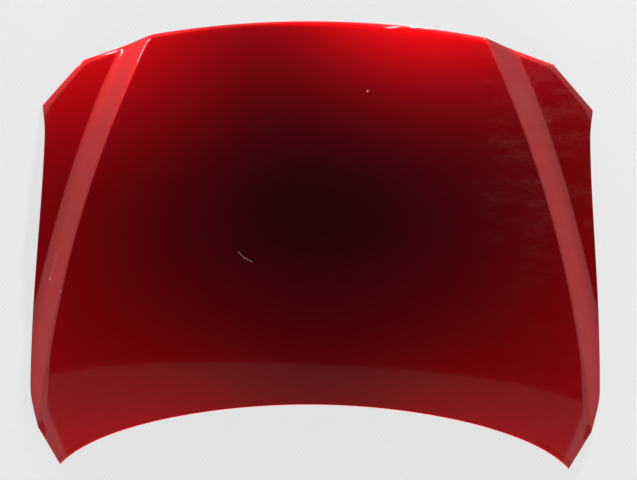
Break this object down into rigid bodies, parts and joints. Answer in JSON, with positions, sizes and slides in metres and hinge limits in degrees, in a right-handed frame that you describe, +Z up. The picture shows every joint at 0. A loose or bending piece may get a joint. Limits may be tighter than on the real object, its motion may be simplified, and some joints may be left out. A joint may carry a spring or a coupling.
{
  "type": "car bonnet",
  "caption": "Pressed steel car bonnet with a hemmed outer skin, ribbed inner frame, hinge plates, bolted striker loop, felt pad and rubber buffers.",
  "frame": {"origin": "on the floor under the middle of the plan, where the bonnet lies crown up on its rim", "axes": "+Y towards the front of the car, +X to the car's right, +Z up out of the crown"},
  "size_m": [1.54, 1.184, 0.1411],
  "materials": {
    "body_paint": "deep metallic red with a glossy clear coat",
    "underside_paint": "thin red paint over primer, half matt",
    "primed_steel": "dark grey dip primer",
    "zinc_steel": "zinc plated, dulled",
    "mastic": "cured anti-flutter mastic",
    "felt": "pressed black fibre felt",
    "clip_plastic": "moulded black plastic",
    "buffer_rubber": "black rubber"
  },
  "bodies": {
    "root": {"buffer_front_left": "buffer_rubber", "buffer_front_right": "buffer_rubber", "buffer_rear_left": "buffer_rubber", "buffer_rear_right": "buffer_rubber", "front_brace": "underside_paint", "hinge_nut_left_front": "zinc_steel", "hinge_nut_left_rear": "zinc_steel", "hinge_nut_right_front": "zinc_steel", "hinge_nut_right_rear": "zinc_steel", "hinge_plate_left": "primed_steel", "hinge_plate_right": "primed_steel", "inner_frame": "underside_paint", "insulation_pad": "felt", "mastic_brace_left": "mastic", "mastic_brace_right": "mastic", "mastic_crease_front_left": "mastic", "mastic_crease_front_right": "mastic", "mastic_crease_middle_left": "mastic", "mastic_crease_middle_right": "mastic", "mastic_field_1_1_left": "mastic", "mastic_field_1_1_right": "mastic", "mastic_field_1_2_left": "mastic", "mastic_field_1_2_right": "mastic", "mastic_field_2_1_left": "mastic", "mastic_field_2_1_right": "mastic", "mastic_field_2_2_left": "mastic", "mastic_field_2_2_right": "mastic", "mastic_field_3_1_left": "mastic", "mastic_field_3_1_right": "mastic", "mastic_field_3_2_left": "mastic", "mastic_field_3_2_right": "mastic", "outer_skin": "body_paint", "pad_clip_front_middle": "clip_plastic", "pad_clip_inner_left": "clip_plastic", "pad_clip_inner_right": "clip_plastic", "pad_clip_outer_left_1": "clip_plastic", "pad_clip_outer_left_2": "clip_plastic", "pad_clip_outer_left_3": "clip_plastic", "pad_clip_outer_right_1": "clip_plastic", "pad_clip_outer_right_2": "clip_plastic", "pad_clip_outer_right_3": "clip_plastic", "pad_clip_rear_middle": "clip_plastic", "striker_bolt_left": "zinc_steel", "striker_bolt_right": "zinc_steel", "striker_loop": "zinc_steel", "striker_nut_left": "zinc_steel", "striker_nut_right": "zinc_steel", "striker_plate": "zinc_steel", "striker_reinforcement": "primed_steel"}
  },
  "joints": []
}
